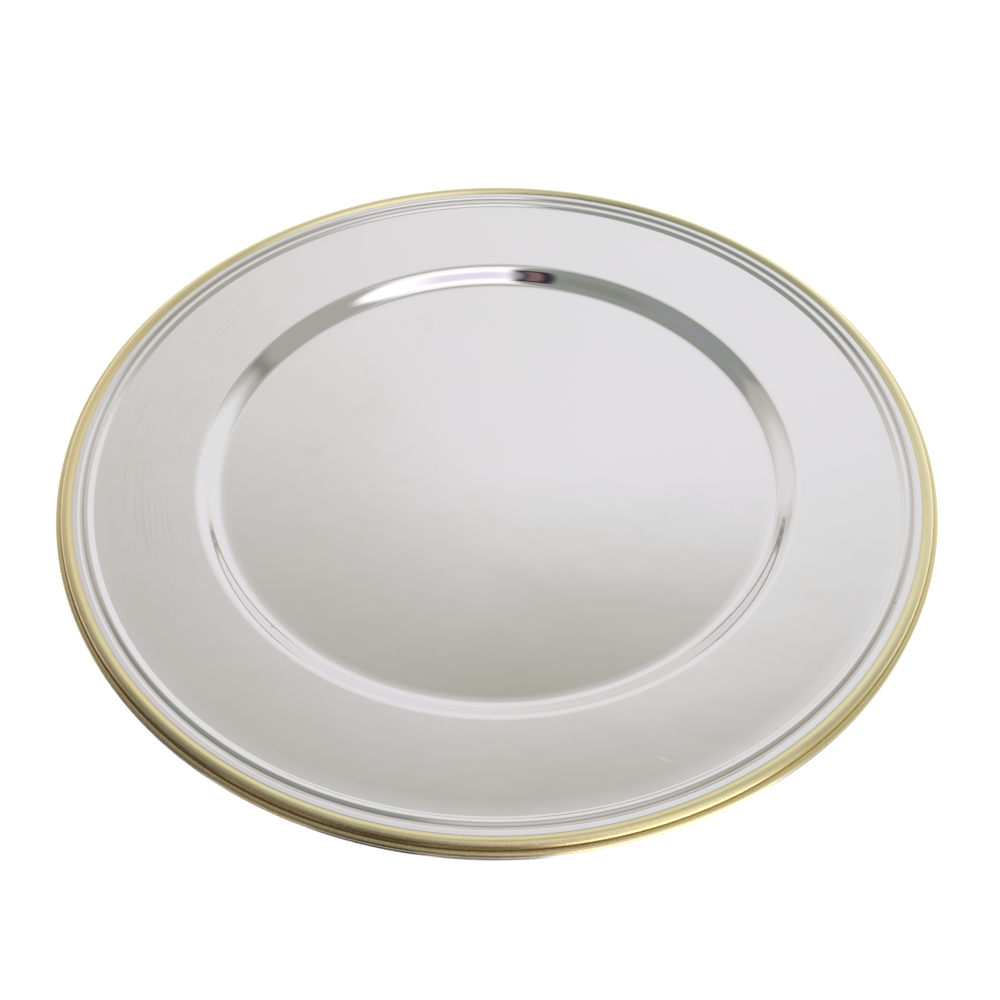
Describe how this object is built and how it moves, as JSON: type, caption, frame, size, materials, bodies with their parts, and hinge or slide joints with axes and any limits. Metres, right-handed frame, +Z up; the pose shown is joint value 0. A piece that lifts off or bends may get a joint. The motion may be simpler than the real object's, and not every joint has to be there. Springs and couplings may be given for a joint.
{
  "type": "charger plate",
  "caption": "Round metal charger plate with a flat well, a broad rim, a pressed reed band and a gilt reeded edge moulding on a base wire.",
  "frame": {"origin": "middle of the underside that the plate stands on", "axes": "+Z up out of the well, the moulding's brazed joint on -Y, towards the picture's camera"},
  "size_m": [0.331, 0.331, 0.0117],
  "materials": {
    "silver_sheet": "polished silver plate with fine wear",
    "gilt": "polished gilt",
    "silver_wire": "polished silver plate",
    "solder": "dull solder"
  },
  "bodies": {
    "root": {"dish": "silver_sheet", "gilt_border": "gilt", "border_joint": "gilt", "base_wire": "silver_wire", "rim_solder": "solder"}
  },
  "joints": []
}
